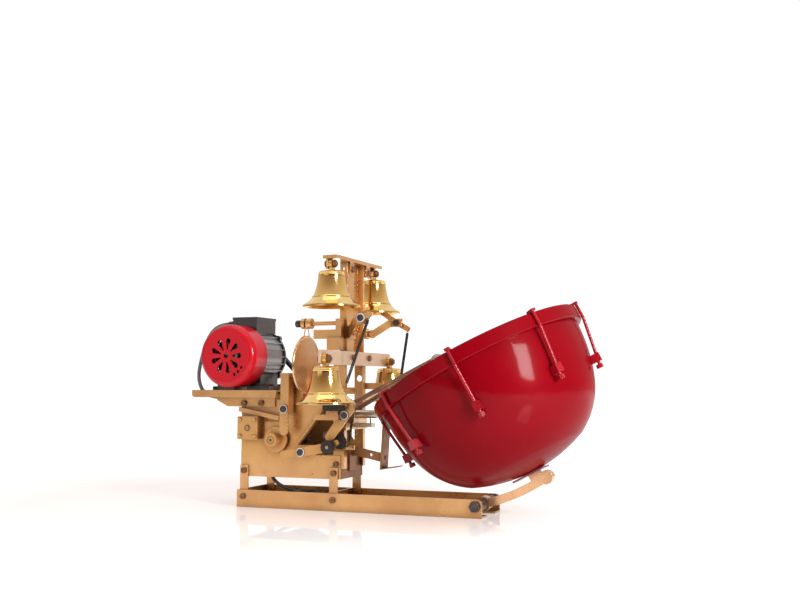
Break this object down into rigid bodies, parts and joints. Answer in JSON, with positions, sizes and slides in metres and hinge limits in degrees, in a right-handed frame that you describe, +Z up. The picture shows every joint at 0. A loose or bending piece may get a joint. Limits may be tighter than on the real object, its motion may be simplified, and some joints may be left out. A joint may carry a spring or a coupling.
{
  "type": "electric bell demonstrator",
  "caption": "Motor driven machine with belt, cam and gear shafts, levers, hammers, hanging brass bells, a gong and a tilted kettle drum on an angle frame.",
  "frame": {"origin": "on the floor plane at the middle of the underside of the left end cross angle of the base", "axes": "+Z up, +X along the base toward the drum, -Y toward the side that shows the levers"},
  "size_m": [0.7777, 0.4152, 0.462],
  "materials": {
    "gold_paint": "satin metallic paint",
    "dark_steel": "blackened",
    "spring_steel": "drawn wire",
    "shaft_steel": "turned",
    "gear_iron": "machined",
    "bell_brass": "polished",
    "red_enamel": "gloss enamel",
    "drum_skin": "smooth skin",
    "red_plastic": "moulded",
    "motor_grey": "satin paint",
    "black_paint": "satin paint",
    "black_rubber": "matt",
    "dark_wood": "varnished",
    "grey_felt": "pressed felt",
    "plain_aluminium": "turned",
    "cable_sheath": "matt sheath"
  },
  "bodies": {
    "frame": {"base_frame": "gold_paint", "legs": "gold_paint", "box_front_plate": "gold_paint", "box_back_plate": "gold_paint", "box_ends": "gold_paint", "bearing_blocks": "gold_paint", "motor_platform": "gold_paint", "tower_angles": "gold_paint", "mid_bar": "gold_paint", "top_beam": "gold_paint", "tower_plates": "gold_paint", "hammer_carriers": "gold_paint", "drum_rest": "gold_paint", "frame_bolts": "dark_steel", "pivot_pins": "dark_steel", "gong_hanger": "dark_steel", "spring_near": "spring_steel", "spring_far": "spring_steel", "short_spring": "spring_steel", "motor_cowl": "red_plastic", "motor_body": "motor_grey", "motor_castings": "black_paint", "terminal_boxes": "black_paint", "v_belt": "black_rubber", "drum_stop": "plain_aluminium", "motor_lead": "cable_sheath", "mains_lead": "cable_sheath", "mains_coil": "cable_sheath", "coil_tie": "cable_sheath", "mains_plug": "cable_sheath"},
    "cam": {"cam_shaft": "shaft_steel", "cam_disc": "gold_paint", "cam_gear": "gear_iron", "large_pulley": "gear_iron"},
    "lay": {"lay_shaft": "shaft_steel", "lay_pinion": "gear_iron"},
    "rotor": {"motor_shaft": "shaft_steel", "motor_pulley": "gear_iron"},
    "gong_lever": {"gong_lever": "gold_paint"},
    "gong": {"gong": "bell_brass"},
    "lower_lever": {"lower_lever": "gold_paint", "rubber_rollers": "black_rubber"},
    "right_lever": {"right_lever": "gold_paint", "striker_block": "black_rubber"},
    "hammer_near": {"hammer_near": "gold_paint"},
    "hammer_far": {"hammer_far": "gold_paint"},
    "bell_upper_near": {"bell_upper_near": "bell_brass"},
    "bell_upper_far": {"bell_upper_far": "bell_brass"},
    "bell_lower_near": {"bell_lower_near": "bell_brass"},
    "bell_lower_far": {"bell_lower_far": "bell_brass"},
    "beater_near": {"beater_near": "dark_wood", "beater_head_near": "grey_felt"},
    "beater_far": {"beater_far": "dark_wood", "beater_head_far": "grey_felt"},
    "drum": {"drum_shell": "red_enamel", "drum_head": "drum_skin", "drum_hoop": "red_enamel", "drum_hooks": "red_enamel", "drum_saddle": "red_enamel", "drum_arm": "gold_paint"}
  },
  "joints": [
    {"name": "cam_turn", "type": "hinge", "parent": "frame", "child": "cam", "pos_m": [0.067, 0, 0.127], "axis": [0, 1, 0], "continuous": true},
    {"name": "lay_turn", "type": "hinge", "parent": "frame", "child": "lay", "pos_m": [0.013, 0, 0.14816], "axis": [0, 1, 0], "continuous": true},
    {"name": "rotor_turn", "type": "hinge", "parent": "frame", "child": "rotor", "pos_m": [-0.0246, 0, 0.283], "axis": [0, 1, 0], "continuous": true},
    {"name": "gong_lever_swing", "type": "hinge", "parent": "frame", "child": "gong_lever", "pos_m": [0.0943, -0.066, 0.184], "axis": [0, 1, 0], "range_deg": [-8, 2.2]},
    {"name": "gong_swing", "type": "hinge", "parent": "frame", "child": "gong", "pos_m": [0.126, -0.05, 0.342], "axis": [1, 0, 0], "range_deg": [-6, 6]},
    {"name": "lower_lever_swing", "type": "hinge", "parent": "frame", "child": "lower_lever", "pos_m": [0.128, -0.074, 0.106], "axis": [0, 1, 0], "range_deg": [-3, 3]},
    {"name": "right_lever_swing", "type": "hinge", "parent": "frame", "child": "right_lever", "pos_m": [0.213, -0.068, 0.1734], "axis": [0, 1, 0], "range_deg": [-4, 4], "stiffness_Nm_per_rad": 0.8, "deforming": ["short_spring"]},
    {"name": "hammer_near_swing", "type": "hinge", "parent": "frame", "child": "hammer_near", "pos_m": [0.253, -0.087, 0.348], "axis": [0, 1, 0], "range_deg": [-8, 0.5], "stiffness_Nm_per_rad": 0.8, "deforming": ["spring_near"]},
    {"name": "hammer_far_swing", "type": "hinge", "parent": "frame", "child": "hammer_far", "pos_m": [0.253, 0.087, 0.348], "axis": [0, 1, 0], "range_deg": [-8, 0.5], "stiffness_Nm_per_rad": 0.8, "deforming": ["spring_far"]},
    {"name": "bell_upper_near_swing", "type": "hinge", "parent": "frame", "child": "bell_upper_near", "pos_m": [0.1985, -0.095, 0.4465], "axis": [1, 0, 0], "range_deg": [-1, 1]},
    {"name": "bell_upper_far_swing", "type": "hinge", "parent": "frame", "child": "bell_upper_far", "pos_m": [0.1985, 0.095, 0.4465], "axis": [1, 0, 0], "range_deg": [-1, 1]},
    {"name": "bell_lower_near_swing", "type": "hinge", "parent": "frame", "child": "bell_lower_near", "pos_m": [0.2119, -0.145, 0.274], "axis": [1, 0, 0], "range_deg": [-6, 6]},
    {"name": "bell_lower_far_swing", "type": "hinge", "parent": "frame", "child": "bell_lower_far", "pos_m": [0.2119, 0.145, 0.274], "axis": [1, 0, 0], "range_deg": [-6, 6]},
    {"name": "beater_near_swing", "type": "hinge", "parent": "frame", "child": "beater_near", "pos_m": [0.192, -0.018, 0.172], "axis": [0, 1, 0], "range_deg": [-8, 3.5]},
    {"name": "beater_far_swing", "type": "hinge", "parent": "frame", "child": "beater_far", "pos_m": [0.192, 0.018, 0.172], "axis": [0, 1, 0], "range_deg": [-8, 3.5]},
    {"name": "drum_tilt", "type": "hinge", "parent": "frame", "child": "drum", "pos_m": [0.454, 0, 0.02], "axis": [0, 1, 0], "range_deg": [0, 8]}
  ],
  "couplings": [
    {"joint": "lay_turn", "follows": "cam_turn", "ratio": -2.2222},
    {"joint": "rotor_turn", "follows": "cam_turn", "ratio": 2.614}
  ]
}
